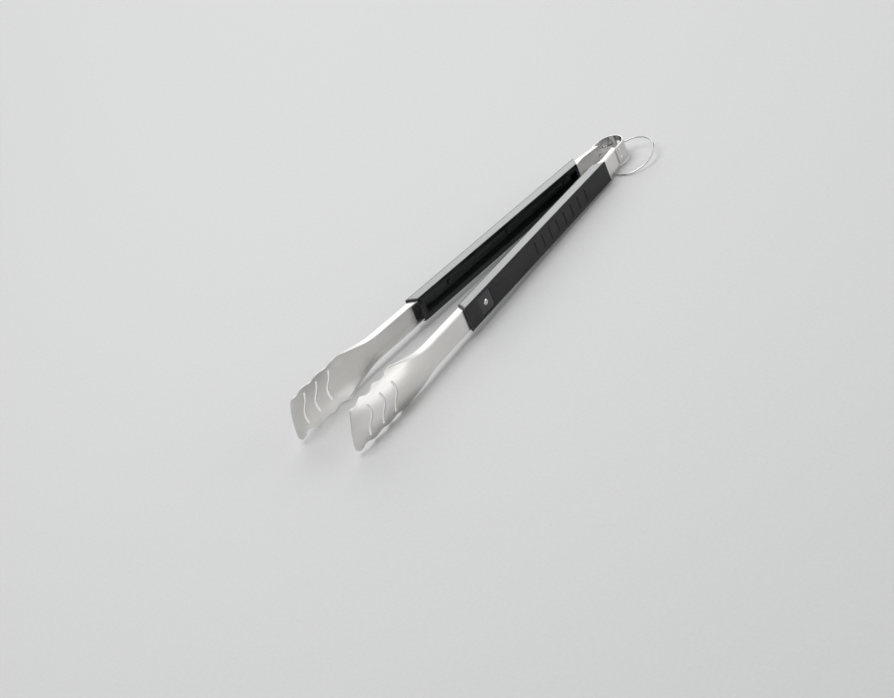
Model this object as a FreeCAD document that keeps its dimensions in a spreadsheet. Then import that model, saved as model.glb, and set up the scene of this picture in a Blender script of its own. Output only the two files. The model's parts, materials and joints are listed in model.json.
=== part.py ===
"""Spring tongs: two stamped steel arms joined at the rear by a bowed spring band.

Every arm piece is drawn in the arm's own frame, in millimetres:
  X runs along the arm from the bow's centre to the tip,
  Y runs across the arm, downwards when the tongs lie flat,
  Z points outwards, away from the other arm.
The right arm's pieces are mirrored to make the left arm's.
"""
import FreeCAD, Part
import math
import os
import Sketcher
from FreeCAD import Placement, Rotation, Vector

os.makedirs("parts", exist_ok=True)
doc = FreeCAD.newDocument("SpringTongs")

# ---------------------------------------------------------------- driving sizes
DRIVING_SIZES = [
    # whole tongs
    ("splay_angle", 4.1),           # each arm's angle to the middle plane, open
    ("closing_angle", 9.15),        # how far the left arm turns until the heads meet
    # spring band
    ("bow_radius", 12.9),           # outside of the bow
    ("band_thickness", 1.1),
    ("band_height", 16.6),
    ("band_tail", 11.0),            # straight lap on each arm
    ("tail_corner", 6.0),
    ("ring_hole", 6.0),             # hole for the hanging ring
    # hanging ring
    ("ring_diameter", 44.4),        # to the middle of the wire
    ("ring_wire", 1.5),
    ("ring_room", 0.5),             # above the wire that lies under the bow
    # arm stampings
    ("sheet", 1.1),
    ("web_offset", 14.67),          # outside of the web from the bow's centre
    ("web_start", 1.5),
    ("bend_at", 32.0),              # where the rear tongue leans in to the bow
    ("rear_flange", 5.0),
    ("rear_flange_start", 7.0),
    ("shank_length", 46.1),         # bare channel between handle and head
    # head: a dish that flares out of the channel and droops to a flat front edge
    ("head_length", 113.1),
    ("flare_share", 0.469),         # part of the head's length before the first lobe
    ("lobe_share", 0.1637),         # part of the head's length from lobe to lobe
    ("head_rise", 1.13),            # the dish's crest above the channel's web
    ("head_droop", 10.9),
    ("droop_power", 4.7),
    ("crown_radius", 25.0),
    ("lobe_half", 20.3),
    ("lobe_step_in", 0.3),
    ("notch_half", 17.9),
    ("notch_step_in", 0.5),
    # S slots
    ("slot_count", 3),
    ("first_slot_share", 0.535),
    ("slot_pitch_share", 0.1384),
    ("slot_length", 23.0),
    ("slot_skew", 7.6),
    ("slot_sag", 1.6),
    ("slot_width", 2.5),
    # handles
    ("handle_rear", 30.9),
    ("handle_length", 220.0),
    ("handle_rear_half", 9.9),
    ("handle_front_half", 11.4),
    ("handle_out", 16.5),           # outer face of the grip
    ("handle_in", 5.9),             # inner face of the liner's lips
    ("rear_set_back", 7.0),         # the ends lean: inner edge behind the outer edge
    ("front_set_back", 5.1),
    ("rail_thickness", 1.6),
    ("grip_lip", 0.9),              # grip's thickness over the rails
    ("grip_edge", 0.4),             # broken edge round the grip's outer face
    ("liner_lip", 0.7),             # liner's thickness under the rails
    ("liner_wall", 1.8),
    ("liner_floor", 1.4),
    ("bulkhead", 3.0),
    ("collar_reach", 2.4),
    # grip grooves
    ("groove_count", 8),
    ("groove_inset", 37.1),
    ("groove_pitch", 11.4),
    ("groove_width", 3.2),
    ("groove_length", 12.0),
    ("groove_depth", 0.5),
    # badge
    ("badge_inset", 24.4),
    ("badge_side", 17.0),
    ("badge_gap", 0.35),
    ("badge_depth", 0.9),
    ("badge_thickness", 0.6),
    ("stud_radius", 2.8),
    ("stud_height", 0.6),
    # fasteners
    ("screw_radius", 1.25),
    ("screw_head_radius", 2.6),
    ("screw_head_height", 1.3),
    ("fit", 0.05),                  # gap round screws and rivets
    ("screw_inset", 21.1),
    ("screw_pitch_share", 0.35),    # part of the handle's length
    ("screw_count", 3),
    ("screw_bite", 0.9),            # how far the screw enters the grip
    ("rivet_radius", 1.5),
    ("rivet_head_radius", 2.5),
    ("rivet_head_height", 0.5),
    ("rivet_along", 6.0),
    ("rivet_across", 4.0),
]
sheet = doc.addObject("Spreadsheet::Sheet", "Sizes")
for row, (alias, value) in enumerate(DRIVING_SIZES, start=1):
    sheet.set(f"A{row}", alias)
    sheet.set(f"B{row}", str(value))
    sheet.setAlias(f"B{row}", alias)
doc.recompute()


def value(expression):
    """The number that an expression in the sheet's aliases gives."""
    return float(sheet.evalExpression(expression))


def read_sizes():
    """Every driving size by name, as the sheet holds it."""
    return {alias: value(f"Sizes.{alias}") for alias, _ in DRIVING_SIZES}


size = read_sizes()
HANDLE_FRONT = "(Sizes.handle_rear + Sizes.handle_length)"
FLARE_START = f"({HANDLE_FRONT} + Sizes.shank_length)"
flare_start = value(FLARE_START)
tip = flare_start + size["head_length"]
first_lobe = flare_start + size["flare_share"] * size["head_length"]
lobe_pitch = size["lobe_share"] * size["head_length"]


def half_width_at(along):
    """Expression for the handle's half width at a place along the arm; it tapers evenly."""
    return (f"(Sizes.handle_rear_half + ({along} - Sizes.handle_rear)"
            " * (Sizes.handle_front_half - Sizes.handle_rear_half)"
            " / Sizes.handle_length)")


RAIL_IN = "(Sizes.handle_in + Sizes.liner_lip)"
RAIL_OUT = "(Sizes.handle_out - Sizes.grip_lip)"
WEB_IN = "(Sizes.web_offset - Sizes.sheet)"
LINER_FLOOR_IN = f"({WEB_IN} - Sizes.liner_floor)"

# The rear tongue leans in so that its outside lies against the inside of the band's tail.
bow_inside = size["bow_radius"] - size["band_thickness"]
tongue_lean = math.atan2(size["web_offset"], size["bend_at"]) - math.asin(
    bow_inside / math.hypot(size["web_offset"], size["bend_at"]))


def resting_lean():
    """How far the tongs tip back, with the head's widest lobe down and the wire under the bow."""
    under_bow = size["ring_wire"] + size["ring_room"]
    drop = size["lobe_half"] - size["band_height"] / 2 - under_bow
    return math.degrees(math.atan2(drop, first_lobe + size["bow_radius"]))


LEAN = Rotation(Vector(0, 1, 0), -resting_lean())
TONGS_FRAME = Placement(Vector(0, 0, 0), LEAN)
ARM_FRAME = Placement(Vector(0, 0, 0),
                      LEAN * Rotation(Vector(0, 0, 1), size["splay_angle"])
                      * Rotation(Vector(1, 0, 0), -90))
TONGUE_FRAME = ARM_FRAME * Placement(
    Vector(0, 0, 0), Rotation(Vector(0, 1, 0), -math.degrees(tongue_lean)))
TOP, BOTTOM = 30.0, -20.0           # planes well outside every arm piece
HEAD_STATIONS = 13                  # cross sections that the head's surface is lofted through
FLARE_POWER = 1.3                   # above 1, the flare starts late and ends full
NOTCH_PLACE = 0.44                  # a notch's place between its two lobes
# The raked front edge: each point's distance behind the tip and share of the lobes' half width.
UPPER_LOBE_END, UPPER_CORNER, FRONT_UPPER = (10.7, -0.86), (9.3, -0.835), (8.6, -0.775)
FRONT_BOW = (2.9, -0.09)
FRONT_LOWER, LOWER_CORNER = (0.1, 0.665), (1.3, 0.855)
LOWER_LOBE_DIP, LOWER_LOBE_END = (10.6, 0.81), (4.8, 0.92)
RING_REACH = Vector(0.498, 0.871, -0.209)       # from the hole to the ring's middle, in radii
RING_NORMAL = Vector(0.266, -0.001, 0.964)      # the ring's axis, as it hangs in the hole


# ---------------------------------------------------------------- helpers for bodies
def new_body(name, frame):
    body = doc.addObject("PartDesign::Body", name)
    body.Label = name
    body.Placement = frame
    return body


def attach(sketch, body, role, offset=None):
    plane = next(f for f in body.Origin.OriginFeatures if f.Role == role)
    sketch.AttachmentSupport = (plane, [""])
    sketch.MapMode = "FlatFace"
    if offset:
        sketch.setExpression("AttachmentOffset.Base.z", offset)


def bind(sketch, kind, geometry, vertex, expression):
    """Hold one coordinate of a point at an expression, measured from the sketch's origin."""
    index = sketch.addConstraint(
        Sketcher.Constraint(kind, -1, 1, geometry, vertex, value(expression)))
    sketch.setExpression(f"Constraints[{index}]", expression)


def outline(body, name, corners, role="XY_Plane", offset=None):
    """A closed sketch of straight lines; each corner is a pair of expressions."""
    sketch = body.newObject("Sketcher::SketchObject", name)
    attach(sketch, body, role, offset)
    points = [Vector(value(x), value(y), 0) for x, y in corners]
    count = len(points)
    for i in range(count):
        sketch.addGeometry(Part.LineSegment(points[i], points[(i + 1) % count]))
    for i in range(count):
        sketch.addConstraint(Sketcher.Constraint("Coincident", i, 2, (i + 1) % count, 1))
    for i, (x, y) in enumerate(corners):
        bind(sketch, "DistanceX", i, 1, x)
        bind(sketch, "DistanceY", i, 1, y)
    return sketch


def circles(body, name, centres, radius, role="XY_Plane", offset=None):
    sketch = body.newObject("Sketcher::SketchObject", name)
    attach(sketch, body, role, offset)
    for i, (x, y) in enumerate(centres):
        centre = Vector(value(x), value(y), 0)
        sketch.addGeometry(Part.Circle(centre, Vector(0, 0, 1), value(radius)))
        bind(sketch, "DistanceX", i, 3, x)
        if value(y):
            bind(sketch, "DistanceY", i, 3, y)
        else:
            sketch.addConstraint(Sketcher.Constraint("PointOnObject", i, 3, -1))
        index = sketch.addConstraint(Sketcher.Constraint("Radius", i, value(radius)))
        sketch.setExpression(f"Constraints[{index}]", radius)
    return sketch


def pad(body, sketch, height):
    """Add the sketch's area from its plane outwards."""
    feature = body.newObject("PartDesign::Pad", f"{sketch.Label}_pad")
    feature.Profile = sketch
    feature.setExpression("Length", height)
    sketch.Visibility = False


def pocket(body, sketch, depth, outwards=True, both_ways=False):
    """Cut the sketch's area away; outwards cuts towards the sketch's own normal."""
    doc.recompute()
    before = body.Shape.Volume
    feature = body.newObject("PartDesign::Pocket", f"{sketch.Label}_cut")
    feature.Profile = sketch
    feature.setExpression("Length", depth)
    feature.Reversed = outwards
    feature.Midplane = both_ways
    sketch.Visibility = False
    doc.recompute()
    if body.Shape.Volume > before - 1e-6:
        raise RuntimeError(f"{sketch.Label} cut nothing")


def tapered(rear, front, inset):
    """Corners of a plate that follows the handle's taper, inset from its sides."""
    return [(along, f"{sign}({half_width_at(along)} - {inset})")
            for along, sign in ((rear, ""), (front, ""), (front, "-"), (rear, "-"))]


def end_line(end, height):
    """Expression for the handle's leaning end plane at a height: end is rear or front."""
    place, sign = ("Sizes.handle_rear", "+") if end == "rear" else (HANDLE_FRONT, "-")
    return (f"({place} {sign} Sizes.{end}_set_back * (Sizes.handle_out - {height})"
            " / (Sizes.handle_out - Sizes.handle_in))")


def trim_ends(body, ends=("rear", "front")):
    """Cut a handle piece back to the leaning end planes."""
    for end in ends:
        past = "(Sizes.handle_rear - 60)" if end == "rear" else f"({HANDLE_FRONT} + 60)"
        low, high = "(Sizes.handle_in - 3)", "(Sizes.handle_out + 3)"
        side = outline(body, f"{body.Label}_{end}_end", [
            (end_line(end, low), low), (end_line(end, high), high),
            (past, high), (past, low),
        ], role="XZ_Plane")
        pocket(body, side, "100", both_ways=True)


LONG_REAR, LONG_FRONT = "(Sizes.handle_rear - 6)", f"({HANDLE_FRONT} + 6)"
SCREW_PLACES = [
    (f"(Sizes.handle_rear + Sizes.screw_inset"
     f" + {i} * Sizes.screw_pitch_share * Sizes.handle_length)", "0")
    for i in range(int(size["screw_count"]))]
BADGE_AT = f"({HANDLE_FRONT} - Sizes.badge_inset)"


# ---------------------------------------------------------------- arm stamping
def tongue_height(along):
    """Outside of the rear tongue, which runs straight from the bend to the band."""
    return size["web_offset"] - (size["bend_at"] - along) * math.tan(tongue_lean)


def smooth(u):
    u = min(max(u, 0.0), 1.0)
    return u * u * (3 - 2 * u)


def head_height(along, across):
    """Outside of the head: a crowned dish whose crest droops until the front edge is flat."""
    share = (along - flare_start) / size["head_length"]
    flared = smooth((along - flare_start) / (first_lobe - flare_start))
    crest = (size["web_offset"] + size["head_rise"] * flared
             - size["head_droop"] * share ** size["droop_power"])
    spent = max(along - first_lobe, 0) / (tip - first_lobe)
    crown = flared * (1 - min(spent, 1) ** 3) / size["crown_radius"]
    return crest - crown * across * across / 2


def interpolated(points, tangents=None):
    curve = Part.BSplineCurve()
    if tangents:
        curve.interpolate(Points=points, InitialTangent=tangents[0], FinalTangent=tangents[1])
    else:
        curve.interpolate(points)
    return curve.toShape()


def polygon(points):
    return Part.makePolygon(points + points[:1])


def side_prism(points):
    """A solid from a side view of the arm, given as (along, height) pairs."""
    face = Part.Face(polygon([Vector(x, -40, z) for x, z in points]))
    return face.extrude(Vector(0, 80, 0))


def below_surface(depth):
    """Everything under the arm's outside, less a depth of sheet."""
    lean = math.tan(tongue_lean)
    rear = tongue_height(size["web_start"]) - depth / math.cos(tongue_lean)
    bend = size["bend_at"] + depth * math.tan(tongue_lean / 2)
    top = size["web_offset"] - depth
    rear_part = side_prism([
        (size["web_start"], rear), (bend, top), (flare_start, top),
        (flare_start, BOTTOM), (size["web_start"], BOTTOM)])
    side = size["lobe_half"] + 6
    sections = []
    for i in range(HEAD_STATIONS):
        along = flare_start + (tip + 4 - flare_start) * i / (HEAD_STATIONS - 1)
        crest = [Vector(along, y, head_height(along, y) - depth)
                 for y in (-side, -side / 2, 0, side / 2, side)]
        low = [Vector(along, side, BOTTOM), Vector(along, -side, BOTTOM)]
        sections.append(Part.Wire([
            interpolated(crest), Part.makeLine(crest[-1], low[0]),
            Part.makeLine(low[0], low[1]), Part.makeLine(low[1], crest[0])]))
    return rear_part.fuse(Part.makeLoft(sections, True, False)).removeSplitter()


def shank_half(along):
    """Half width of the channel, which fills the handle between its side rails."""
    return value(half_width_at(str(along))) - size["rail_thickness"]


def edge_points(inset=0.0, scallops=True):
    """Points along one edge of the head: the flare, then notches and lobes in turn."""
    narrow, wide = shank_half(flare_start), size["lobe_half"]
    points = []
    for u in (0, 0.25, 0.5, 0.75, 1):
        points.append((flare_start + u * (first_lobe - flare_start),
                       narrow + (wide - narrow) * smooth(u) ** FLARE_POWER - inset))
    if scallops:
        for i in range(int(size["slot_count"])):
            notch = size["notch_half"] - i * size["notch_step_in"]
            crest = wide - (i + 1) * size["lobe_step_in"]
            points += [(first_lobe + (i + NOTCH_PLACE) * lobe_pitch, notch),
                       (first_lobe + (i + 1) * lobe_pitch, crest)]
        points.pop()                # the front corner takes the last lobe's place
    return points


def front_point(place):
    """A point of the front edge, from its distance behind the tip and share of half width."""
    back, share = place
    return Vector(tip - back, share * size["lobe_half"], 0)


def head_outline():
    """Plan of the whole stamping: straight shank, flare, scallops and a raked, bowed front."""
    rear = size["web_start"]
    taper = Vector(1, (shank_half(flare_start) - shank_half(rear)) / (flare_start - rear), 0)
    upper = [Vector(x, -w, 0) for x, w in edge_points()] + [front_point(UPPER_LOBE_END)]
    lower = [Vector(x, w, 0) for x, w in edge_points()] + [
        front_point(LOWER_LOBE_DIP), front_point(LOWER_LOBE_END)]
    upper_edge = interpolated(upper, (Vector(taper.x, -taper.y, 0), Vector(1, 0.1, 0)))
    lower_edge = interpolated(lower, (taper, Vector(1, 0.02, 0)))
    upper_front, lower_front = front_point(FRONT_UPPER), front_point(FRONT_LOWER)
    upper_corner = Part.Arc(upper[-1], front_point(UPPER_CORNER), upper_front).toShape()
    front = Part.Arc(upper_front, front_point(FRONT_BOW), lower_front).toShape()
    lower_corner = Part.Arc(lower_front, front_point(LOWER_CORNER), lower[-1]).toShape()
    rear_upper, rear_lower = (Vector(rear, sign * shank_half(rear), 0) for sign in (-1, 1))
    return Part.Wire(Part.__sortEdges__([
        Part.makeLine(rear_lower, rear_upper), Part.makeLine(rear_upper, upper[0]),
        upper_edge, upper_corner, front, lower_corner, lower_edge,
        Part.makeLine(lower[0], rear_lower)]))


def channel_plan():
    """Plan of the hollow between the flanges."""
    sheet_metal = size["sheet"]
    rear = size["web_start"] - 5
    flare = edge_points(sheet_metal, scallops=False)
    upper = [Vector(x, -w, 0) for x, w in flare]
    lower = [Vector(x, w, 0) for x, w in flare]
    rear_half = shank_half(rear) - sheet_metal
    rear_upper, rear_lower = Vector(rear, -rear_half, 0), Vector(rear, rear_half, 0)
    return Part.Wire(Part.__sortEdges__([
        Part.makeLine(rear_lower, rear_upper), Part.makeLine(rear_upper, upper[0]),
        interpolated(upper), Part.makeLine(upper[-1], lower[-1]),
        interpolated(lower), Part.makeLine(lower[0], rear_lower)]))


def below_flanges():
    """Everything under the flanges' free edges, and all that lies past their ends."""
    first, last = size["rear_flange_start"], first_lobe - 1
    full_from, rear_to = size["handle_rear"] + size["rear_set_back"] + 2, size["bend_at"] - 6
    edge = value(RAIL_IN)
    lobe_edge = head_height(first_lobe, size["lobe_half"])
    rear_drop = size["rear_flange"]
    profile = [(first - 20, TOP), (first, TOP), (first, tongue_height(first) - rear_drop),
               (rear_to, tongue_height(rear_to) - rear_drop), (full_from, edge),
               (flare_start, edge)]
    for i in range(1, 8):
        profile.append((flare_start + (last - flare_start) * i / 7,
                        edge + (lobe_edge - edge) * smooth(2 * i / 7)))
    profile += [(last, TOP), (tip + 10, TOP), (tip + 10, BOTTOM - 5),
                (first - 20, BOTTOM - 5)]
    return side_prism(profile)


def upright(wire):
    """A tall prism over a plan outline."""
    prism = Part.Face(wire).extrude(Vector(0, 0, TOP - BOTTOM + 10))
    prism.translate(Vector(0, 0, BOTTOM - 5))
    return prism


def slot_prism(centre_along):
    """An S slot: two equal arcs that meet at the middle, with round ends."""
    half = Vector(size["slot_skew"] / 4, size["slot_length"] / 4, 0)    # middle to arc centre
    chord = half.Length * 2
    sag, width = size["slot_sag"], size["slot_width"]
    radius = (chord * chord / 4 + sag * sag) / (2 * sag)
    across = Vector(half.y, -half.x, 0).normalize()     # towards the tip
    middle = Vector(centre_along, 0, 0)
    arcs = []
    for sign in (1, -1):            # sign 1 is the lower half, which bulges forwards
        centre = middle + half * sign - across * (sign * (radius - sag))
        ends = [middle, middle + half * (2 * sign)]
        bulge = middle + half * sign + across * (sign * sag)
        arcs.append((centre, ends, bulge))
    faces = []
    for centre, ends, bulge in arcs:
        rims = []
        for offset in (width / 2, -width / 2):
            rims.append([centre + (p - centre) * ((radius + offset) / radius)
                         for p in (ends[0], bulge, ends[1])])
        outer, inner = rims
        faces.append(Part.Face(Part.Wire([
            Part.Arc(*outer).toShape(), Part.makeLine(outer[2], inner[2]),
            Part.Arc(inner[2], inner[1], inner[0]).toShape(),
            Part.makeLine(inner[0], outer[0])])))
        faces.append(Part.Face(Part.Wire(Part.makeCircle(width / 2, ends[1]))))
    plan = faces[0].fuse(faces[1:]).removeSplitter()
    prism = plan.extrude(Vector(0, 0, TOP))
    return prism


def hole(centre, axis, radius):
    return Part.makeCylinder(radius, 40, centre - axis * 20, axis)


def build_arm():
    plan = upright(head_outline())
    stamping = plan.common(below_surface(0))
    inside = below_surface(size["sheet"])
    stamping = stamping.cut(inside.common(upright(channel_plan())))
    stamping = stamping.cut(inside.common(below_flanges()))
    for i in range(int(size["slot_count"])):
        share = size["first_slot_share"] + i * size["slot_pitch_share"]
        stamping = stamping.cut(slot_prism(flare_start + share * size["head_length"]))
    up = Vector(0, 0, 1)
    for along, _ in SCREW_PLACES:
        stamping = stamping.cut(hole(Vector(value(along), 0, size["web_offset"]), up,
                                     size["screw_radius"] + size["fit"]))
    to_arm = ARM_FRAME.inverse() * TONGUE_FRAME
    for across in (-size["rivet_across"], size["rivet_across"]):
        centre = to_arm.multVec(Vector(size["rivet_along"], across, bow_inside))
        axis = to_arm.Rotation.multVec(up)
        stamping = stamping.cut(hole(centre, axis, size["rivet_radius"] + size["fit"]))
    return stamping.removeSplitter()


right_arm = doc.addObject("Part::Feature", "right_arm")
right_arm.Label = "right_arm"
right_arm.Shape = build_arm()
right_arm.Placement = ARM_FRAME


# ---------------------------------------------------------------- handle
def build_outer_grip():
    """The black cover: it sits on the web between the rails and laps over their edges."""
    body = new_body("right_outer_grip", ARM_FRAME)
    core = outline(body, "grip_core", tapered(LONG_REAR, LONG_FRONT, "Sizes.rail_thickness"),
                   offset="Sizes.web_offset")
    pad(body, core, f"{RAIL_OUT} - Sizes.web_offset")
    cap = outline(body, "grip_cap", tapered(LONG_REAR, LONG_FRONT, "0.05"), offset=RAIL_OUT)
    pad(body, cap, "Sizes.grip_lip")
    trim_ends(body)
    doc.recompute()
    last = body.Tip
    face = next(f"Face{i}" for i, f in enumerate(last.Shape.Faces, start=1)
                if abs(f.BoundBox.ZMin - size["handle_out"]) < 1e-6)
    broken = body.newObject("PartDesign::Chamfer", "grip_broken_edge")
    broken.Base = (last, [face])
    broken.setExpression("Size", "Sizes.grip_edge")
    half = "Sizes.badge_side / 2 + Sizes.badge_gap"
    badge = outline(body, "badge_recess", [
        (f"{BADGE_AT} {x} ({half})", f"{y}({half})")
        for x, y in (("-", "-"), ("+", "-"), ("+", ""), ("-", ""))], offset="Sizes.handle_out")
    pocket(body, badge, "Sizes.badge_depth", outwards=False)
    for i in range(int(size["groove_count"])):
        start = f"(Sizes.handle_rear + Sizes.groove_inset + {i} * Sizes.groove_pitch)"
        reach = "Sizes.groove_length / 2"
        bar = outline(body, f"grip_groove_{i + 1}", [
            (start, f"-{reach}"), (f"{start} + Sizes.groove_width", f"-{reach}"),
            (f"{start} + Sizes.groove_width", reach), (start, reach)],
            offset="Sizes.handle_out")
        pocket(body, bar, "Sizes.groove_depth", outwards=False)
    holes = circles(body, "grip_screw_holes", SCREW_PLACES,
                    "Sizes.screw_radius + Sizes.fit", offset="Sizes.web_offset")
    pocket(body, holes, "Sizes.screw_bite + 0.1", outwards=True)
    return body


def build_rail(name, sign):
    """A light side strip, held between the grip's lip and the liner's lip."""
    body = new_body(name, ARM_FRAME)
    corners = []
    for along, inset in ((LONG_REAR, "0"), (LONG_FRONT, "0"),
                         (LONG_FRONT, "Sizes.rail_thickness"), (LONG_REAR, "Sizes.rail_thickness")):
        corners.append((along, f"{sign}({half_width_at(along)} - {inset})"))
    plan = outline(body, f"{name}_plan", corners, offset=RAIL_IN)
    pad(body, plan, f"{RAIL_OUT} - {RAIL_IN}")
    trim_ends(body)
    return body


def build_inner_liner():
    """The dark lining of the channel, open towards the other arm and closed at both ends."""
    body = new_body("right_inner_liner", ARM_FRAME)
    flange_inside = "(Sizes.rail_thickness + Sizes.sheet)"
    lip = outline(body, "liner_lip", tapered(LONG_REAR, LONG_FRONT, "0.05"),
                  offset="Sizes.handle_in")
    pad(body, lip, "Sizes.liner_lip")
    block = outline(body, "liner_block", tapered(LONG_REAR, LONG_FRONT, flange_inside),
                    offset="Sizes.handle_in")
    pad(body, block, f"{WEB_IN} - Sizes.handle_in")
    trim_ends(body)
    hollow = outline(body, "liner_hollow", tapered(
        "(Sizes.handle_rear + Sizes.rear_set_back + Sizes.bulkhead)",
        f"({HANDLE_FRONT} - Sizes.front_set_back - Sizes.bulkhead)",
        f"({flange_inside} + Sizes.liner_wall)"), offset="Sizes.handle_in")
    pocket(body, hollow, f"{LINER_FLOOR_IN} - Sizes.handle_in", outwards=True)
    holes = circles(body, "liner_screw_holes", SCREW_PLACES,
                    "Sizes.screw_radius + Sizes.fit", offset=LINER_FLOOR_IN)
    pocket(body, holes, "Sizes.liner_floor + 0.1", outwards=True)
    return body


def build_collar():
    """The black bezel that closes the handle's front round the channel."""
    body = new_body("right_front_collar_blank", ARM_FRAME)
    plan = outline(body, "collar_plan", tapered(
        f"({HANDLE_FRONT} - Sizes.front_set_back - 6)",
        f"({HANDLE_FRONT} + Sizes.collar_reach + 1)", "0.05"), offset="Sizes.handle_in")
    pad(body, plan, "Sizes.handle_out - Sizes.handle_in - 0.05")
    low, high = "(Sizes.handle_in - 3)", "(Sizes.handle_out + 3)"
    for name, ahead, past in (("collar_seat", "0", f"({HANDLE_FRONT} - 60)"),
                              ("collar_face", "Sizes.collar_reach", f"({HANDLE_FRONT} + 60)")):
        side = outline(body, name, [
            (f"{end_line('front', low)} + {ahead}", low),
            (f"{end_line('front', high)} + {ahead}", high),
            (past, high), (past, low),
        ], role="XZ_Plane")
        pocket(body, side, "100", both_ways=True)
    return body


def cut_with(name, base, tool):
    """A boolean cut kept as an object of the document."""
    result = doc.addObject("Part::Cut", name)
    result.Label = name
    result.Base = base
    result.Tool = tool
    return result


def build_badge_plate():
    body = new_body("right_badge_plate", ARM_FRAME)
    half = "Sizes.badge_side / 2"
    plan = outline(body, "badge_plan", [
        (f"{BADGE_AT} {x} {half}", f"{y}{half}")
        for x, y in (("-", "-"), ("+", "-"), ("+", ""), ("-", ""))],
        offset="Sizes.handle_out - Sizes.badge_depth")
    pad(body, plan, "Sizes.badge_thickness")
    return body


def standing(frame, position):
    """A placement at a point of a frame, with the frame's own directions."""
    return frame * Placement(position, Rotation())


def cylinder(name, frame, position, radius, height):
    """A Part cylinder standing on a point of a frame; sizes are expressions."""
    piece = doc.addObject("Part::Cylinder", name)
    piece.setExpression("Radius", radius)
    piece.setExpression("Height", height)
    piece.Placement = standing(frame, position)
    return piece


def cone(name, frame, position, foot, top, height):
    piece = doc.addObject("Part::Cone", name)
    piece.setExpression("Radius1", foot)
    piece.setExpression("Radius2", top)
    piece.setExpression("Height", height)
    piece.Placement = standing(frame, position)
    return piece


def fused(name, pieces):
    result = doc.addObject("Part::MultiFuse", name)
    result.Shapes = pieces
    return result


def group(name, pieces):
    """Identical fasteners share one node as separate solids."""
    result = doc.addObject("Part::Compound", name)
    result.Label = name
    result.Links = pieces
    return result


def build_screws():
    """Pan-head screws from inside the liner, through the web, into the grip."""
    screws = []
    head = size["screw_head_height"]
    floor = value(LINER_FLOOR_IN)
    for i, (along, _) in enumerate(SCREW_PLACES, start=1):
        foot = Vector(value(along), 0, floor - head)
        pan = cone(f"screw_head_{i}", ARM_FRAME, foot, "Sizes.screw_head_radius * 0.8",
                   "Sizes.screw_head_radius", "Sizes.screw_head_height")
        shank = cylinder(f"screw_shank_{i}", ARM_FRAME, foot, "Sizes.screw_radius",
                         f"Sizes.screw_head_height + Sizes.web_offset + Sizes.screw_bite"
                         f" - {LINER_FLOOR_IN}")
        screws.append(fused(f"screw_{i}", [pan, shank]))
    return group("right_grip_screws", screws)


def build_rivets():
    """Two low rivets hold the band's tail to the tongue."""
    rivets = []
    inner = bow_inside - size["sheet"]
    head = size["rivet_head_height"]
    for i, sign in enumerate((-1, 1), start=1):
        across = sign * size["rivet_across"]
        inside = Vector(size["rivet_along"], across, inner - head)
        outside = Vector(size["rivet_along"], across, size["bow_radius"])
        rivets.append(fused(f"rivet_{i}", [
            cone(f"rivet_tail_{i}", TONGUE_FRAME, inside, "Sizes.rivet_head_radius * 0.75",
                 "Sizes.rivet_head_radius", "Sizes.rivet_head_height"),
            cylinder(f"rivet_shank_{i}", TONGUE_FRAME, inside, "Sizes.rivet_radius",
                     "2 * Sizes.rivet_head_height + Sizes.band_thickness + Sizes.sheet"),
            cone(f"rivet_head_{i}", TONGUE_FRAME, outside, "Sizes.rivet_head_radius",
                 "Sizes.rivet_head_radius * 0.75", "Sizes.rivet_head_height")]))
    return group("right_band_rivets", rivets)


def build_stud():
    """A plain round stud in the middle of the badge plate."""
    foot = Vector(value(BADGE_AT), 0,
                  size["handle_out"] - size["badge_depth"] + size["badge_thickness"])
    stud = cone("right_badge_stud", ARM_FRAME, foot, "Sizes.stud_radius",
                "Sizes.stud_radius * 0.7", "Sizes.stud_height")
    stud.Label = "right_badge_stud"
    return stud


# ---------------------------------------------------------------- spring band and ring
def build_band():
    """A strip bent to a bow; its straight tails lap the outside of both tongues."""
    body = new_body("spring_band_blank", TONGS_FRAME)
    sketch = body.newObject("Sketcher::SketchObject", "band_side")
    attach(sketch, body, "XY_Plane")
    lean = math.radians(size["splay_angle"]) + tongue_lean
    along = Vector(math.cos(lean), math.sin(lean), 0)
    out = Vector(-math.sin(lean), math.cos(lean), 0)

    def flipped(point):
        return Vector(point.x, -point.y, 0)

    rims = []
    for radius in (size["bow_radius"], bow_inside):
        rims.append((out * radius, out * radius + along * size["band_tail"], radius))
    (start, end, radius), (in_start, in_end, in_radius) = rims
    sketch.addGeometry([
        Part.Arc(start, Vector(-radius, 0, 0), flipped(start)),
        Part.LineSegment(flipped(start), flipped(end)),
        Part.LineSegment(flipped(end), flipped(in_end)),
        Part.LineSegment(flipped(in_end), flipped(in_start)),
        Part.Arc(flipped(in_start), Vector(-in_radius, 0, 0), in_start),
        Part.LineSegment(in_start, in_end),
        Part.LineSegment(in_end, end),
        Part.LineSegment(end, start)])
    strip = body.newObject("PartDesign::Pad", "band_strip")
    strip.Profile = sketch
    strip.setExpression("Length", "Sizes.band_height")
    strip.Midplane = True
    sketch.Visibility = False
    doc.recompute()
    corners = [f"Edge{i}" for i, edge in enumerate(strip.Shape.Edges, start=1)
               if is_tail_corner(edge)]
    rounded = body.newObject("PartDesign::Fillet", "tail_corners")
    rounded.Base = (strip, corners)
    rounded.setExpression("Radius", "Sizes.tail_corner")
    doc.recompute()
    punch = circles(body, "ring_hole_circle", [("0", "0")], "Sizes.ring_hole / 2",
                    role="YZ_Plane")
    pocket(body, punch, "Sizes.bow_radius + 5", outwards=False)
    return body


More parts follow.
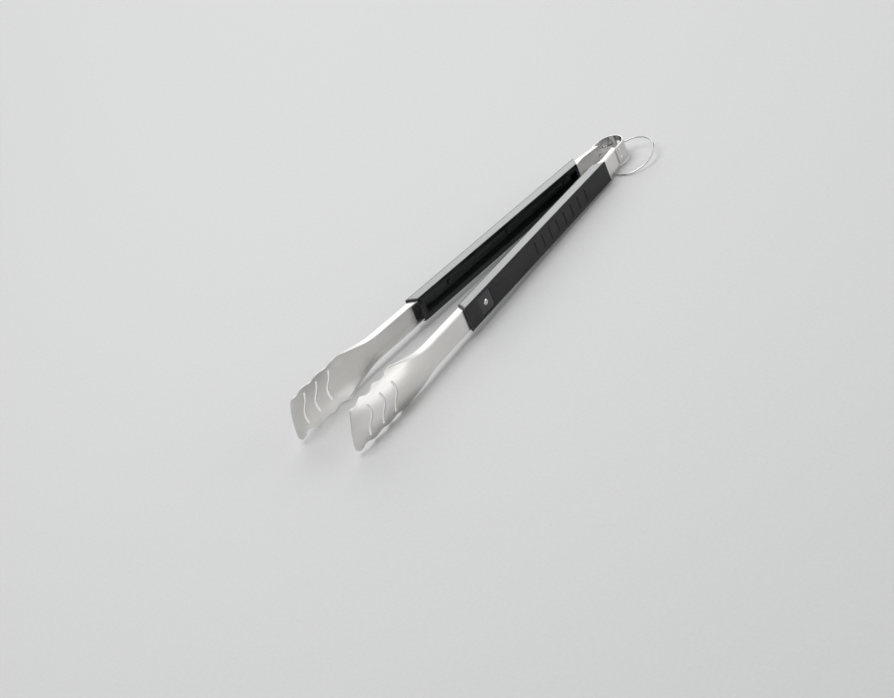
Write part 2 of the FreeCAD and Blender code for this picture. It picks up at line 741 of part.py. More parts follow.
def build_band_holes():
    """Round tools for the rivet holes in both tails."""
    tools = []
    for side in (1, -1):
        for sign in (-1, 1):
            foot = Vector(size["rivet_along"], sign * size["rivet_across"], bow_inside - 1)
            tool = cylinder(f"band_hole_{len(tools) + 1}", TONGUE_FRAME, foot,
                            "Sizes.rivet_radius + Sizes.fit", "Sizes.band_thickness + 2")
            if side < 0:
                mirrored = doc.addObject("Part::Mirroring", f"{tool.Label}_left")
                mirrored.Source = tool
                mirrored.Normal = Vector(0, 1, 0)
                tool = mirrored
            tools.append(tool)
    return fused("band_rivet_holes", tools)


def is_tail_corner(edge):
    """A short edge through the strip's thickness at the free end of a tail."""
    middle = edge.CenterOfMass
    return (abs(edge.Length - size["band_thickness"]) < 0.01
            and middle.x > size["band_tail"] / 2
            and abs(abs(middle.z) - size["band_height"] / 2) < 0.01)


def build_ring():
    """The hanging ring, threaded through the bow's hole and round its lower edge."""
    ring = doc.addObject("Part::Torus", "hanging_ring")
    ring.Label = "hanging_ring"
    ring.setExpression("Radius1", "Sizes.ring_diameter / 2")
    ring.setExpression("Radius2", "Sizes.ring_wire / 2")
    hole_middle = Vector(size["band_thickness"] / 2 - size["bow_radius"], 0, 0)
    centre = hole_middle + RING_REACH * (size["ring_diameter"] / 2)
    ring.Placement = TONGS_FRAME * Placement(centre, Rotation(Vector(0, 0, 1), RING_NORMAL))
    return ring


outer_grip = build_outer_grip()
right_pieces = [
    right_arm, outer_grip, build_rail("right_upper_rail", "-"), build_rail("right_lower_rail", ""),
    build_inner_liner(), cut_with("right_front_collar", build_collar(), right_arm),
    build_badge_plate(), build_stud(), build_screws(), build_rivets(),
]
shared_pieces = [cut_with("spring_band", build_band(), build_band_holes()), build_ring()]

left_pieces = []
for piece in right_pieces:
    mirrored = doc.addObject("Part::Mirroring", piece.Label.replace("right_", "left_"))
    mirrored.Label = piece.Label.replace("right_", "left_")
    mirrored.Source = piece
    mirrored.Normal = Vector(0, 1, 0)
    left_pieces.append(mirrored)
doc.recompute()

# ---------------------------------------------------------------- checks and files
pieces = right_pieces + left_pieces + shared_pieces
for item in doc.Objects:
    if "Invalid" in item.State or "Error" in item.State:
        raise RuntimeError(f"{item.Label} failed: {item.State}")
for piece in pieces:
    if piece.Shape.isNull() or not piece.Shape.isValid():
        raise RuntimeError(f"{piece.Label} has no valid shape")

# The frame's origin is the middle of the floor under the finished tongs.
box = FreeCAD.BoundBox()
for piece in pieces:
    box.add(piece.Shape.optimalBoundingBox())
shift = Vector(-box.Center.x, -box.Center.y, -box.ZMin)
for piece in pieces:
    shape = piece.Shape.copy()
    shape.translate(shift)
    shape.exportStep(f"parts/{piece.Label}.step")
    print(f"{piece.Label}: {len(shape.Solids)} solid(s), {shape.Volume:.1f} mm3")

hinge_axis = LEAN.multVec(Vector(0, 0, 1))
print("bow centre", [round(v, 4) for v in shift], "hinge axis", [round(v, 6) for v in hinge_axis])
print("left arm closes by", size["closing_angle"], "degrees")
print("overall size", round(box.XLength, 2), round(box.YLength, 2), round(box.ZLength, 2))
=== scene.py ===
# %% [markdown]
# # Spring tongs
# A pair of barbecue tongs lies on its edge on a pale table. Two stamped steel arms with
# scalloped, slotted heads are joined at the back by a bowed strip of spring steel, which a
# wire ring hangs from. Each arm carries a moulded handle: a black cover, a silver rail on
# each side and a black lining. This lesson gives the arms their pressed folds, softens the
# edges of the mouldings, bends the spring from a flat strip, turns the small fasteners, and
# finishes every piece with a procedural material.

# %% Load the frame
import json
import math
import bmesh
import bpy
from mathutils import Matrix, Vector
from mathutils.bvhtree import BVHTree
from mathutils.interpolate import poly_3d_calc


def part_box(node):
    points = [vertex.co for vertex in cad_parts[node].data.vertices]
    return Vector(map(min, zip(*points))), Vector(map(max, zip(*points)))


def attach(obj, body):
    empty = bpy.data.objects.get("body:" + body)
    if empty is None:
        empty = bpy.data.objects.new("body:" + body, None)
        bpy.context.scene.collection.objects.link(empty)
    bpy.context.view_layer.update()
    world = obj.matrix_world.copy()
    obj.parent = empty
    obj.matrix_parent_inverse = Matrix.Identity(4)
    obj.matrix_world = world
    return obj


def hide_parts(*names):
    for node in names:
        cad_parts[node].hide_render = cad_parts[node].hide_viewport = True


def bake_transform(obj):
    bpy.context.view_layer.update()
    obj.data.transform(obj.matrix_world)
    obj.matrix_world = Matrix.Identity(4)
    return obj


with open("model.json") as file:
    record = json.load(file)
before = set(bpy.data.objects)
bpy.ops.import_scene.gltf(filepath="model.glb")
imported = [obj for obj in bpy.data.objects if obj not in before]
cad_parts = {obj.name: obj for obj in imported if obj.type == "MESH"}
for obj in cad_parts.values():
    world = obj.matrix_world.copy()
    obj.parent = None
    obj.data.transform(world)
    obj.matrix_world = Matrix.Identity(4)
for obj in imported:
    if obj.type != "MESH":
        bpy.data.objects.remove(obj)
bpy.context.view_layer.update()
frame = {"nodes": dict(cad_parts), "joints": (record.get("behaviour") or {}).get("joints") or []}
print("nodes:", len(frame["nodes"]))

# %% [markdown]
# ## Where things are
# The whole object stands in metres, with the spring at the low end of X and the heads at
# the high end. The tongs tip a little, because the heads are wider than the handles, so
# it helps to have the tongs' own directions at hand. One hinge joint tells us both the
# middle of the bow and the direction of the strip's width. Each arm turns away from the
# middle by a few degrees, and the left arm is the mirror image of the right one.

# %% Find the bow and the arms' own directions
MM = 0.001
squeeze = next(joint for joint in frame["joints"] if joint["name"] == "squeeze")
bow_middle = Vector(squeeze["pos_m"])
upward = Vector(squeeze["axis"]).normalized()
forward = Vector((0, 1, 0)).cross(upward).normalized()
directions = Matrix((forward, (0, 1, 0), upward)).transposed()
tongs = Matrix.Translation(bow_middle) @ directions.to_4x4()
SPLAY = math.radians(4.1)           # an arm's angle to the middle
TAIL_LEAN = math.radians(9.15)      # the spring's tails lean out further
SIDES = {"right": 1, "left": -1}


def arm_frame(side, lean=SPLAY):
    """An arm's own axes: X along it, Y away from the other arm, Z up."""
    sign = SIDES[side]
    mirror = Matrix.Scale(sign, 4, (0, 1, 0))
    return tongs @ mirror @ Matrix.Rotation(lean, 4, "Z")


print("bow middle:", [round(v, 4) for v in bow_middle])

# %% [markdown]
# ## Materials as small recipes
# Every finish starts from a Principled shader. Most real surfaces aren't even: brushed
# steel has fine lines, moulded plastic has a grain, and both are a little smoother or
# duller from place to place. Noise textures give all of that, read on Object
# coordinates so that the pattern stays with the piece when it moves.

# %% Start a finish
finishes = {}


def new_finish(name, color, metallic, roughness):
    """A material with a Principled shader, and the coordinates that its patterns read."""
    material = bpy.data.materials.new(name)
    material.use_nodes = True
    nodes = material.node_tree.nodes
    shader = nodes["Principled BSDF"]
    shader.inputs["Base Color"].default_value = (*color, 1)
    shader.inputs["Metallic"].default_value = metallic
    shader.inputs["Roughness"].default_value = roughness
    coordinates = nodes.new("ShaderNodeTexCoord")
    finishes[name] = material
    return material, shader, coordinates.outputs["Object"]


def noise(material, coordinates, scale, stretch=(1, 1, 1), detail=3.0):
    """Noise with features about 1/scale metres across, stretched along the piece."""
    nodes, links = material.node_tree.nodes, material.node_tree.links
    mapping = nodes.new("ShaderNodeMapping")
    mapping.inputs["Scale"].default_value = stretch
    links.new(coordinates, mapping.inputs["Vector"])
    texture = nodes.new("ShaderNodeTexNoise")
    texture.inputs["Scale"].default_value = scale
    texture.inputs["Detail"].default_value = detail
    links.new(mapping.outputs["Vector"], texture.inputs["Vector"])
    return texture.outputs["Fac"]


def between(material, factor, low, high, start=0.3, end=0.7):
    """Turns a noise value into a range of numbers."""
    nodes, links = material.node_tree.nodes, material.node_tree.links
    ramp = nodes.new("ShaderNodeMapRange")
    ramp.inputs["From Min"].default_value = start
    ramp.inputs["From Max"].default_value = end
    ramp.inputs["To Min"].default_value = low
    ramp.inputs["To Max"].default_value = high
    links.new(factor, ramp.inputs["Value"])
    return ramp.outputs["Result"]


def tint(material, factor, dark, light):
    """Turns a noise value into a colour between two."""
    nodes, links = material.node_tree.nodes, material.node_tree.links
    ramp = nodes.new("ShaderNodeValToRGB")
    ramp.color_ramp.elements[0].position = 0.35
    ramp.color_ramp.elements[1].position = 0.65
    ramp.color_ramp.elements[0].color = (*dark, 1)
    ramp.color_ramp.elements[1].color = (*light, 1)
    links.new(factor, ramp.inputs["Fac"])
    return ramp.outputs["Color"]


def bump(material, shader, factor, strength, distance):
    """Lets a noise value raise the surface a little."""
    nodes, links = material.node_tree.nodes, material.node_tree.links
    node = nodes.new("ShaderNodeBump")
    node.inputs["Strength"].default_value = strength
    node.inputs["Distance"].default_value = distance
    links.new(factor, node.inputs["Height"])
    links.new(node.outputs["Normal"], shader.inputs["Normal"])


def link(material, output, socket):
    """Joins a node's output to a socket."""
    material.node_tree.links.new(output, socket)

# %% [markdown]
# ## Steel
# The arms are stamped from sheet with a satin finish: very fine lines along the sheet,
# and soft cloudy changes in how dull it is. The spring, the ring and the rivets are
# polished instead, so they get hardly any grain and a low roughness. The screws are
# blackened.

# %% Make the steel finishes
satin, shader, where = new_finish("satin_steel", (0.76, 0.75, 0.73), 1.0, 0.36)
lines = noise(satin, where, 900, (0.02, 1, 1), 4)
clouds = noise(satin, where, 45, (0.4, 1, 1), 2)
cloudy = tint(satin, clouds, (0.73, 0.715, 0.69), (0.80, 0.79, 0.77))
link(satin, cloudy, shader.inputs["Base Color"])
link(satin, between(satin, lines, 0.33, 0.42), shader.inputs["Roughness"])
bump(satin, shader, lines, 0.03, 0.0001)

polished, shader, where = new_finish("polished_steel", (0.63, 0.625, 0.615), 1.0, 0.08)
haze = noise(polished, where, 160, (1, 1, 1), 3)
link(polished, between(polished, haze, 0.05, 0.13), shader.inputs["Roughness"])
bump(polished, shader, haze, 0.02, 0.0001)

blackened, shader, where = new_finish("black_screw", (0.02, 0.02, 0.021), 0.0, 0.35)
turned = noise(blackened, where, 1200, (1, 1, 1), 2)
link(blackened, between(blackened, turned, 0.25, 0.42), shader.inputs["Roughness"])
print("steel finishes:", list(finishes))

# %% [markdown]
# ## Plastic
# The grips are charcoal with a fine spark-eroded grain. The rails are moulded in silver
# plastic, whose metal flakes show as a faint speckle. The linings and collars are a
# smooth, nearly black plastic with a soft gloss.

# %% Make the plastic finishes
charcoal, shader, where = new_finish("charcoal_grip", (0.022, 0.022, 0.024), 0.0, 0.5)
shader.inputs["Specular IOR Level"].default_value = 0.3
grain = noise(charcoal, where, 2600, (1, 1, 1), 2)
wear = noise(charcoal, where, 60, (1, 1, 1), 3)
worn = tint(charcoal, wear, (0.017, 0.017, 0.019), (0.028, 0.028, 0.030))
link(charcoal, worn, shader.inputs["Base Color"])
link(charcoal, between(charcoal, wear, 0.44, 0.56), shader.inputs["Roughness"])
bump(charcoal, shader, grain, 0.35, 0.0002)

silver, shader, where = new_finish("silver_rail", (0.50, 0.50, 0.495), 0.15, 0.5)
flakes = noise(silver, where, 2200, (1, 1, 1), 1)
flaked = tint(silver, flakes, (0.42, 0.425, 0.425), (0.56, 0.565, 0.565))
link(silver, flaked, shader.inputs["Base Color"])
link(silver, between(silver, flakes, 0.42, 0.56), shader.inputs["Roughness"])

lining, shader, where = new_finish("dark_lining", (0.008, 0.011, 0.010), 0.0, 0.28)
shader.inputs["Specular IOR Level"].default_value = 0.4
ripple = noise(lining, where, 120, (0.5, 1, 1), 2)
rippled = tint(lining, ripple, (0.005, 0.008, 0.0075), (0.010, 0.014, 0.013))
link(lining, rippled, shader.inputs["Base Color"])
link(lining, between(lining, ripple, 0.22, 0.34), shader.inputs["Roughness"])

bezel, shader, where = new_finish("black_collar", (0.009, 0.009, 0.010), 0.0, 0.25)
marks = noise(bezel, where, 400, (1, 1, 1), 3)
link(bezel, between(bezel, marks, 0.20, 0.34), shader.inputs["Roughness"])

plate, shader, where = new_finish("badge_plate", (0.040, 0.040, 0.043), 0.0, 0.42)
frost = noise(plate, where, 3000, (1, 1, 1), 2)
frosted = tint(plate, frost, (0.034, 0.034, 0.037), (0.047, 0.047, 0.050))
link(plate, frosted, shader.inputs["Base Color"])
bump(plate, shader, frost, 0.25, 0.0001)
print("all finishes:", len(finishes))

# %% [markdown]
# ## Pieces from shapes
# Every new piece ends in the same way: its shape becomes a mesh with one finish, an
# object at the origin holds the mesh, the object rides on the body that it moves with, and
# the frame nodes that it stands in for are hidden.

# %% Turn a shape into a piece
WELD = 0.002 * MM


def welded(node):
    """A frame node's shape with its loose triangles joined."""
    shape = bmesh.new()
    shape.from_mesh(frame["nodes"][node].data)
    bmesh.ops.remove_doubles(shape, verts=shape.verts, dist=WELD)
    return shape


def only_verts(items):
    """The vertices among what an operator made."""
    return [item for item in items if isinstance(item, bmesh.types.BMVert)]


def merge_flat(shape, angle):
    """Joins neighbouring faces that differ by less than an angle in degrees."""
    bmesh.ops.dissolve_limit(shape, angle_limit=math.radians(angle), verts=shape.verts,
                             edges=shape.edges, use_dissolve_boundaries=False)


def new_piece(name, shape, finish):
    """An object at the origin from a finished shape."""
    for face in shape.faces:
        face.smooth = True
        face.material_index = 0
    mesh = bpy.data.meshes.new(name)
    shape.to_mesh(mesh)
    shape.free()
    mesh.materials.append(finishes[finish])
    piece = bpy.data.objects.new(name, mesh)
    bpy.context.scene.collection.objects.link(piece)
    return piece


def soften(piece, width, angle=35, segments=2):
    """A Bevel modifier on every edge that turns sharply."""
    rounding = piece.modifiers.new("rounding", "BEVEL")
    rounding.limit_method = "ANGLE"
    rounding.angle_limit = math.radians(angle)
    rounding.width = width
    rounding.segments = segments
    rounding.harden_normals = True
    return piece


def settle(piece, body, slot, *nodes):
    """The piece rides on a body in place of some frame nodes."""
    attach(piece, body)
    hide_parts(*nodes)
    print(piece.name, len(piece.data.polygons), "faces")

# %% [markdown]
# ## The stamped arms
# Sheet that is folded in a press keeps a small radius along each fold, which shows as a
# thin dark line beside a bright flange. The heads are gently dished, though, and a mesh of
# long triangles shades unevenly once it is edited. A Bevel modifier would spoil their
# smooth shine. So only the folds are bevelled, and then every corner of every face that is
# still on the stamped surface takes its shading normal from the frame's own mesh, which
# knows the true curve.

# %% Find the true shading normals of a frame node
SAME_SIDE = 0.9                     # cosine between a face and the stamped side that it lies on


def true_normals(mesh, reach=0.6 * MM):
    """A function that gives the mesh's shading normal near a point on a face's side."""
    tree = BVHTree.FromPolygons([vert.co for vert in mesh.vertices],
                                [tuple(face.vertices) for face in mesh.polygons])

    def normal_at(point, facing):
        hits = [hit for hit in tree.find_nearest_range(point, reach) if hit[1].dot(facing) > SAME_SIDE]
        if not hits:
            return facing
        spot, _, index, _ = min(hits, key=lambda hit: hit[3])
        face = mesh.polygons[index]
        shares = poly_3d_calc([mesh.vertices[v].co for v in face.vertices], spot)
        normals = [mesh.corner_normals[loop].vector for loop in face.loop_indices]
        return sum((n * share for n, share in zip(normals, shares)), Vector()).normalized()

    return normal_at

# %% Find the folds
FOLD_RADIUS = 1.0 * MM
LOWER_FOLD_END = 310 * MM           # past these the flanges run out into the head
UPPER_FOLD_END = 345 * MM
SHARP = math.radians(40)            # a fold turns by more than this
NEARLY = 0.75                       # cosine of a face that looks nearly one way


def fold_edges(shape, side):
    """The outer edges where the web turns into a flange."""
    to_arm = arm_frame(side).inverted()
    outward, up = (arm_frame(side).to_3x3().col[i] for i in (1, 2))
    folds = []
    for edge in shape.edges:
        if not edge.is_convex or edge.calc_face_angle(0) < SHARP:
            continue
        looks = [face.normal for face in edge.link_faces]
        turns = (max(look.dot(outward) for look in looks) > NEARLY
                 and max(abs(look.dot(up)) for look in looks) > NEARLY)
        spot = to_arm @ edge.verts[0].co
        if turns and spot.x < (UPPER_FOLD_END if spot.z > 0 else LOWER_FOLD_END):
            folds.append(edge)
    return folds

# %% Fold the arms
AGREES = 0.7                        # cosine below which a face keeps its own normal


def corner_normal(face, vert, strips, normal_at):
    """The stamped surface's normal where the corner touches it, or the fold's own."""
    stamped = [near.normal for near in vert.link_faces if near not in strips]
    if face not in strips:
        normal = normal_at(vert.co, face.normal)
    elif stamped:
        normal = normal_at(vert.co, max(stamped, key=face.normal.dot))
    else:
        normal = vert.normal
    return normal.copy() if normal.dot(face.normal) > AGREES else face.normal.copy()


for side in SIDES:
    shape = welded(f"{side}_arm")
    merge_flat(shape, 0.02)
    folds = fold_edges(shape, side)
    strips = set(bmesh.ops.bevel(
        shape, geom=folds, offset=FOLD_RADIUS, offset_type="OFFSET", segments=3, profile=0.5,
        affect="EDGES", clamp_overlap=False, material=-1)["faces"])
    shape.normal_update()
    normal_at = true_normals(frame["nodes"][f"{side}_arm"].data)
    normals = [corner_normal(face, vert, strips, normal_at)
               for face in shape.faces for vert in face.verts]
    arm = new_piece(f"{side}_arm_folded", shape, "satin_steel")
    arm.data.normals_split_custom_set(normals)
    settle(arm, f"{side}_arm_body", "arm_steel", f"{side}_arm")

# %% [markdown]
# ## The handles
# A moulded piece never has a knife edge. The frame's shapes do, so each one is copied,
# its loose triangles are welded, flat areas are dissolved back to single faces, and a
# Bevel modifier rounds every edge that turns sharply. A modifier is the better choice
# here, because nearly all the faces are flat and the width is easy to change later.
#
# The square badge and the recess that it sits in have well rounded corners. Only the four
# upright edges of each get that radius, so they are bevelled in the shape itself, with a
# slightly smaller radius on the plate to keep the gap round it even.

# %% Round the badge's corners
CORNER_RADII = {"outer_grip": 2.2 * MM, "badge_plate": 1.85 * MM}
UPRIGHT = 0.99                      # cosine of an edge that stands straight out of the web


def round_badge_corners(shape, side, radius, margin=1 * MM):
    """Rounds the upright edges that stand in the badge's place."""
    outward = arm_frame(side).to_3x3().col[1]
    low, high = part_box(f"{side}_badge_plate")
    corners = []
    for edge in shape.edges:
        along = (edge.verts[1].co - edge.verts[0].co).normalized()
        inside = all(low[i] - margin < vert.co[i] < high[i] + margin
                     for vert in edge.verts for i in range(3))
        if inside and abs(along.dot(outward)) > UPRIGHT:
            corners.append(edge)
    bmesh.ops.bevel(shape, geom=corners, offset=radius, offset_type="OFFSET", segments=5,
                    profile=0.5, affect="EDGES", clamp_overlap=False, material=-1)
    print(side, "badge corners:", len(corners))

# %% Soften the mouldings
MOULDINGS = {                       # finish, slot, width of the rounding in mm
    "outer_grip": ("charcoal_grip", "grip_black", 0.22),
    "upper_rail": ("silver_rail", "rail_silver", 0.22),
    "lower_rail": ("silver_rail", "rail_silver", 0.22),
    "inner_liner": ("dark_lining", "liner_black", 0.25),
    "front_collar": ("black_collar", "collar_black", 0.30),
    "badge_plate": ("badge_plate", "badge_black", 0.12),
    "badge_stud": ("polished_steel", "polished_steel", 0.15),
}
for side in SIDES:
    for part, (finish, slot, width) in MOULDINGS.items():
        node = f"{side}_{part}"
        shape = welded(node)
        merge_flat(shape, 0.4)
        if part in CORNER_RADII:
            round_badge_corners(shape, side, CORNER_RADII[part])
        piece = soften(new_piece(f"{node}_moulded", shape, finish), width * MM)
        settle(piece, f"{side}_arm_body", slot, node)

# %% [markdown]
# ## The spring
# A spring maker cuts a strip, rounds its ends, punches the hole for the ring while the
# strip is still flat, and then bends it round a peg. We do the same. A circle of edges
# bridged to a square gives the punched middle, the square's sides are drawn out into
# tails, the ends' corners are bevelled, and cuts across the strip let it bend smoothly.
# A Solidify modifier then gives it its thickness, equally to both sides.

# %% Cut and punch the flat strip
STRIP_WIDTH = 16.6 * MM
STRIP_THICKNESS = 1.1 * MM
BOW_RADIUS = 12.35 * MM             # to the middle of the strip's thickness
TAIL_LENGTH = 11.0 * MM
END_RADIUS = 6.0 * MM
HOLE_RADIUS = 3.0 * MM
SQUARE_SIDES = 8                    # edges along each side of the punched square
TOUCH = 0.01 * MM                   # points this near a line count as on it
HALF_ARC = (math.pi / 2 - TAIL_LEAN) * BOW_RADIUS
HALF_LENGTH = HALF_ARC + TAIL_LENGTH


def draw_out(shape, end):
    """Pulls the strip's edge at one end out to the strip's full length."""
    edges = [edge for edge in shape.edges
             if all(abs(vert.co.x - end * STRIP_WIDTH / 2) < TOUCH for vert in edge.verts)]
    new = bmesh.ops.extrude_edge_only(shape, edges=edges)["geom"]
    reach = end * (HALF_LENGTH - STRIP_WIDTH / 2)
    bmesh.ops.translate(shape, verts=only_verts(new), vec=(reach, 0, 0))


strip = bmesh.new()
bmesh.ops.create_grid(strip, x_segments=SQUARE_SIDES, y_segments=SQUARE_SIDES,
                      size=STRIP_WIDTH / 2)
inside = [vert for vert in strip.verts if not vert.is_boundary]
bmesh.ops.delete(strip, geom=inside, context="VERTS")
bmesh.ops.create_circle(strip, cap_ends=False, radius=HOLE_RADIUS, segments=4 * SQUARE_SIDES)
bmesh.ops.bridge_loops(strip, edges=strip.edges)
for end in (1, -1):
    draw_out(strip, end)
print("flat strip:", len(strip.faces), "faces,", round(2 * HALF_LENGTH / MM, 1), "mm long")

# %% Round its ends and bend it
def bent(point):
    """Where a point of the flat strip goes, round the bow and along the tails."""
    sign = math.copysign(1, point.x)
    turn = min(abs(point.x), HALF_ARC) / BOW_RADIUS
    past = max(abs(point.x) - HALF_ARC, 0)
    across = Vector((-math.cos(turn), sign * math.sin(turn), 0)) * BOW_RADIUS
    along = Vector((math.sin(turn), sign * math.cos(turn), 0)) * past
    return across + along + Vector((0, 0, point.y))


corners = [vert for vert in strip.verts if abs(vert.co.x) > HALF_LENGTH - TOUCH
           and abs(vert.co.y) > STRIP_WIDTH / 2 - TOUCH]
bmesh.ops.bevel(strip, geom=corners, offset=END_RADIUS, offset_type="OFFSET", segments=8,
                profile=0.5, affect="VERTICES", clamp_overlap=False, material=-1)
CUTS = 80
SNAP = 0.1 * MM                     # a cut goes through points that are this near
for i in range(1, CUTS):
    place = (2 * i / CUTS - 1) * HALF_LENGTH
    bmesh.ops.bisect_plane(strip, geom=strip.verts[:] + strip.edges[:] + strip.faces[:],
                           plane_co=(place, 0, 0), plane_no=(1, 0, 0), dist=SNAP)
for vert in strip.verts:
    vert.co = bent(vert.co)
bmesh.ops.recalc_face_normals(strip, faces=strip.faces)
bmesh.ops.transform(strip, matrix=tongs, verts=strip.verts)
spring = new_piece("spring_strip", strip, "polished_steel")
thickness = spring.modifiers.new("thickness", "SOLIDIFY")
thickness.thickness = STRIP_THICKNESS
thickness.offset = 0
soften(spring, 0.15 * MM, angle=50)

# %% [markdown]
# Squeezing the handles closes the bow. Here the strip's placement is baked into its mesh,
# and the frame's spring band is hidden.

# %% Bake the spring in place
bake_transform(spring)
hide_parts("spring_band")
print("spring:", len(spring.data.polygons), "faces")

# %% [markdown]
# ## Rivets and screws
# Small round parts are turned on a lathe, and Blender's lathe is the spin operator: it
# sweeps a half outline round an axis. The outline starts and ends on the axis, so that
# the swept shape is closed once its doubled points are merged. Each fastener's place is
# the middle of one loose part of the frame's node, measured along its arm's own axes.

# %% Turn a shape on a lathe
MERGE = 0.001 * MM


def lathe(outline, steps=28):
    """A closed shape from (height, radius) pairs in millimetres, turned round Y."""
    shape = bmesh.new()
    verts = [shape.verts.new((radius * MM, height * MM, 0)) for height, radius in outline]
    edges = [shape.edges.new(pair) for pair in zip(verts, verts[1:])]
    bmesh.ops.spin(shape, geom=verts + edges, cent=(0, 0, 0), axis=(0, 1, 0), dvec=(0, 0, 0),
                   angle=2 * math.pi, steps=steps, use_merge=True, use_duplicate=False)
    bmesh.ops.remove_doubles(shape, verts=shape.verts, dist=MERGE)
    return shape


def loose_parts(node, to_own):
    """The middle of each loose part of a node, in a frame of its own."""
    shape = welded(node)
    waiting, middles = set(shape.verts), []
    while waiting:
        part = [waiting.pop()]
        for vert in part:
            near = {edge.other_vert(vert) for edge in vert.link_edges} & waiting
            waiting -= near
            part += near
        points = [to_own @ vert.co for vert in part]
        low = Vector([min(p[i] for p in points) for i in range(3)])
        high = Vector([max(p[i] for p in points) for i in range(3)])
        middles.append((low + high) / 2)
    shape.free()
    return sorted(middles, key=lambda place: (round(place.x, 5), place.z))


def copies(pattern, places, own):
    """One shape with a copy of a pattern at each place of a frame."""
    joined = bmesh.new()
    mesh = bpy.data.meshes.new("pattern")
    pattern.to_mesh(mesh)
    for place in places:
        old = set(joined.verts)
        joined.from_mesh(mesh)
        new = [vert for vert in joined.verts if vert not in old]
        bmesh.ops.transform(joined, matrix=own @ Matrix.Translation(place), verts=new)
    bpy.data.meshes.remove(mesh)
    bmesh.ops.recalc_face_normals(joined, faces=joined.faces)
    return joined

# %% [markdown]
# A rivet is one outline with a low dome at both ends of its shank. A screw has a pan
# head on its inner end, and a cross recess for the driver: four cuts each way across the
# head's flat top mark out a cross, a copy of its faces is pushed down, the faces that
# stayed behind are deleted, and what is left of the top is merged again so that the bevel
# finds no needless edges.

# %% Turn the rivets and screws
# (height, radius) pairs in millimetres; a rivet's outline is the dome's, mirrored
DOME = ((1.6, 0), (1.58, 1.1), (1.46, 1.85), (1.27, 2.3), (1.1, 2.45), (1.1, 1.5))
PAN_HEAD = ((-2.35, 0), (-2.35, 1.85), (-2.22, 2.15), (-1.9, 2.4), (-1.05, 2.58))
SCREW_SHANK = ((-1.05, 1.25), (2.1, 1.25), (2.35, 1.0), (2.35, 0))
rivet = lathe([(-height, radius) for height, radius in DOME] + list(DOME[::-1]))
screw = lathe(PAN_HEAD + SCREW_SHANK)
merge_flat(screw, 1)
CROSS_ARM, CROSS_WIDTH, CROSS_DEPTH = 1.4 * MM, 0.35 * MM, 0.7 * MM
HEAD_TOP = -2.34 * MM               # only the flat top's faces lie past this


def head_faces(shape):
    """The faces of the head's flat top."""
    return [face for face in shape.faces if face.calc_center_median().y < HEAD_TOP]


for axis in ((1, 0, 0), (0, 0, 1)):
    for place in (-CROSS_ARM, -CROSS_WIDTH, CROSS_WIDTH, CROSS_ARM):
        top = head_faces(screw)
        parts = {item for face in top for item in (*face.verts, *face.edges)}
        bmesh.ops.bisect_plane(screw, geom=list(parts) + top, plane_co=Vector(axis) * place,
                               plane_no=axis, dist=MERGE)


def in_cross(face):
    """Whether a face of the flat top belongs to the cross."""
    middle = face.calc_center_median()
    near, far = sorted((abs(middle.x), abs(middle.z)))
    return near < CROSS_WIDTH and far < CROSS_ARM


cross = [face for face in head_faces(screw) if in_cross(face)]
pushed = bmesh.ops.extrude_face_region(screw, geom=cross)["geom"]
bmesh.ops.translate(screw, verts=only_verts(pushed), vec=(0, CROSS_DEPTH, 0))
bmesh.ops.delete(screw, geom=cross, context="FACES")
merge_flat(screw, 1)
print("rivet:", len(rivet.faces), "faces; screw:", len(screw.faces), "faces")

# %% Place the fasteners
for side in SIDES:
    for node, pattern, lean, finish, slot in (
            ("band_rivets", rivet, TAIL_LEAN, "polished_steel", "polished_steel"),
            ("grip_screws", screw, SPLAY, "black_screw", "screw_black")):
        name, own = f"{side}_{node}", arm_frame(side, lean)
        shape = copies(pattern, loose_parts(name, own.inverted()), own)
        piece = new_piece(f"{name}_turned", shape, finish)
        settle(soften(piece, 0.06 * MM, angle=50), f"{side}_arm_body", slot, name)

# %% [markdown]
# ## The ring
# The ring is already the plain round wire that it should be, so the frame's node stays
# and only gets its polish.

# %% Polish the ring
ring = frame["nodes"]["hanging_ring"]
ring.data.materials.clear()
ring.data.materials.append(finishes["polished_steel"])
print("ring:", len(ring.data.polygons), "faces")

# %% [markdown]
# ## Table and light
# The tongs lie on a plain pale table. Large soft lamps give long gentle reflections on
# the steel.

# %% Set the table
TABLE_REACH = 4                     # metres from the middle to each side
table_shape = bmesh.new()
bmesh.ops.create_grid(table_shape, x_segments=1, y_segments=1, size=TABLE_REACH)
pale, shader, where = new_finish("pale_table", (0.76, 0.76, 0.755), 0.0, 0.6)
speckle = noise(pale, where, 300, (1, 1, 1), 2)
speckled = tint(pale, speckle, (0.75, 0.75, 0.745), (0.77, 0.77, 0.765))
link(pale, speckled, shader.inputs["Base Color"])
table = new_piece("table_top", table_shape, "pale_table")
print("table:", 2 * TABLE_REACH, "m across")

# %% Place the lamps
def soft_lamp(name, place, target, size, power):
    """A large lamp that faces a point."""
    data = bpy.data.lights.new(name, "AREA")
    data.shape = "RECTANGLE"
    data.size, data.size_y = size
    data.energy = power
    lamp = bpy.data.objects.new(name, data)
    lamp.location = place
    lamp.rotation_euler = (Vector(target) - Vector(place)).to_track_quat("-Z", "Y").to_euler()
    bpy.context.scene.collection.objects.link(lamp)
    print(name, "lamp:", power, "W")


LIT_POINT = (0, 0, 0.02)            # the middle of the tongs
soft_lamp("behind", (-1.25, -1.35, 0.95), LIT_POINT, (2.2, 1.3), 12)
soft_lamp("left_wall", (-1.5, 1.45, 0.62), LIT_POINT, (2.6, 1.1), 12)
soft_lamp("overhead", (0.3, -0.2, 1.9), LIT_POINT, (1.4, 1.4), 21)
bpy.context.scene.view_settings.view_transform = "Standard"

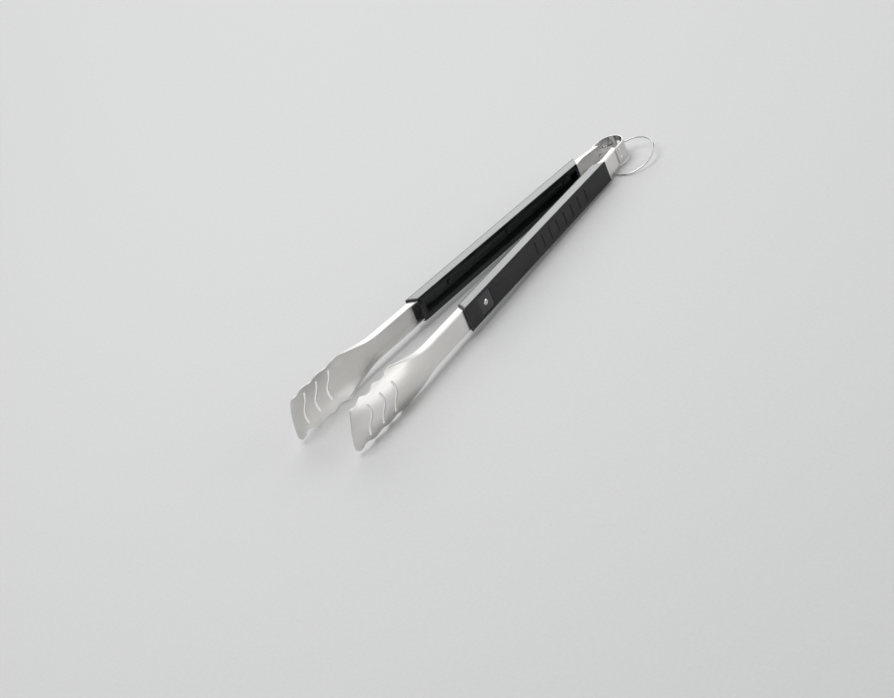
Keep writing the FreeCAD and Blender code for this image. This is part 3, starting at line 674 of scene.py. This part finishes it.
# %% [markdown]
# The surroundings give only a little light of their own, but seen straight on or mirrored
# in the steel they are as pale as the table, like the walls of a bright studio. Light Path
# tells the two apart.

# %% Set up the surroundings
GIVEN_STRENGTH, SEEN_STRENGTH = 0.3, 0.5
world = bpy.data.worlds.new("surroundings")
bpy.context.scene.world = world
world.use_nodes = True
background = world.node_tree.nodes["Background"]
background.inputs["Color"].default_value = (0.80, 0.81, 0.83, 1)
rays = world.node_tree.nodes.new("ShaderNodeLightPath")
seen = rays.outputs["Is Camera Ray"]
for kind in ("Is Glossy Ray", "Is Transmission Ray"):
    either = world.node_tree.nodes.new("ShaderNodeMath")
    either.operation = "MAXIMUM"
    world.node_tree.links.new(seen, either.inputs[0])
    world.node_tree.links.new(rays.outputs[kind], either.inputs[1])
    seen = either.outputs[0]
strength = world.node_tree.nodes.new("ShaderNodeMapRange")
strength.inputs["To Min"].default_value = GIVEN_STRENGTH
strength.inputs["To Max"].default_value = SEEN_STRENGTH
world.node_tree.links.new(seen, strength.inputs["Value"])
world.node_tree.links.new(strength.outputs["Result"], background.inputs["Strength"])
print("surroundings:", GIVEN_STRENGTH, "as light,", SEEN_STRENGTH, "as seen")

# %% [markdown]
# ## The camera
# A long lens from in front of the heads, to the right and above, shows both arms, with
# the heads nearest. The camera is held a little turned about its own line of sight, and its
# place and its aim are measured from the middle of the bow, along the tongs' directions.

# %% Set up the camera
CAMERA_PLACE = Vector((1.56734, 1.68263, 1.18391))
CAMERA_AIM = Vector((0.28972, 0.04196, 0))
CAMERA_ROLL = math.radians(-23.058)
camera_data = bpy.data.cameras.new("camera")
camera_data.sensor_width = 36
camera_data.lens = 117.33
camera = bpy.data.objects.new("camera", camera_data)
look = (CAMERA_AIM - CAMERA_PLACE).to_track_quat("-Z", "Y").to_matrix().to_4x4()
held = look @ Matrix.Rotation(CAMERA_ROLL, 4, "Z")
camera.matrix_world = tongs @ Matrix.Translation(CAMERA_PLACE) @ held
bpy.context.scene.collection.objects.link(camera)
bpy.context.scene.camera = camera
print("camera at", [round(v, 3) for v in camera.matrix_world.translation])
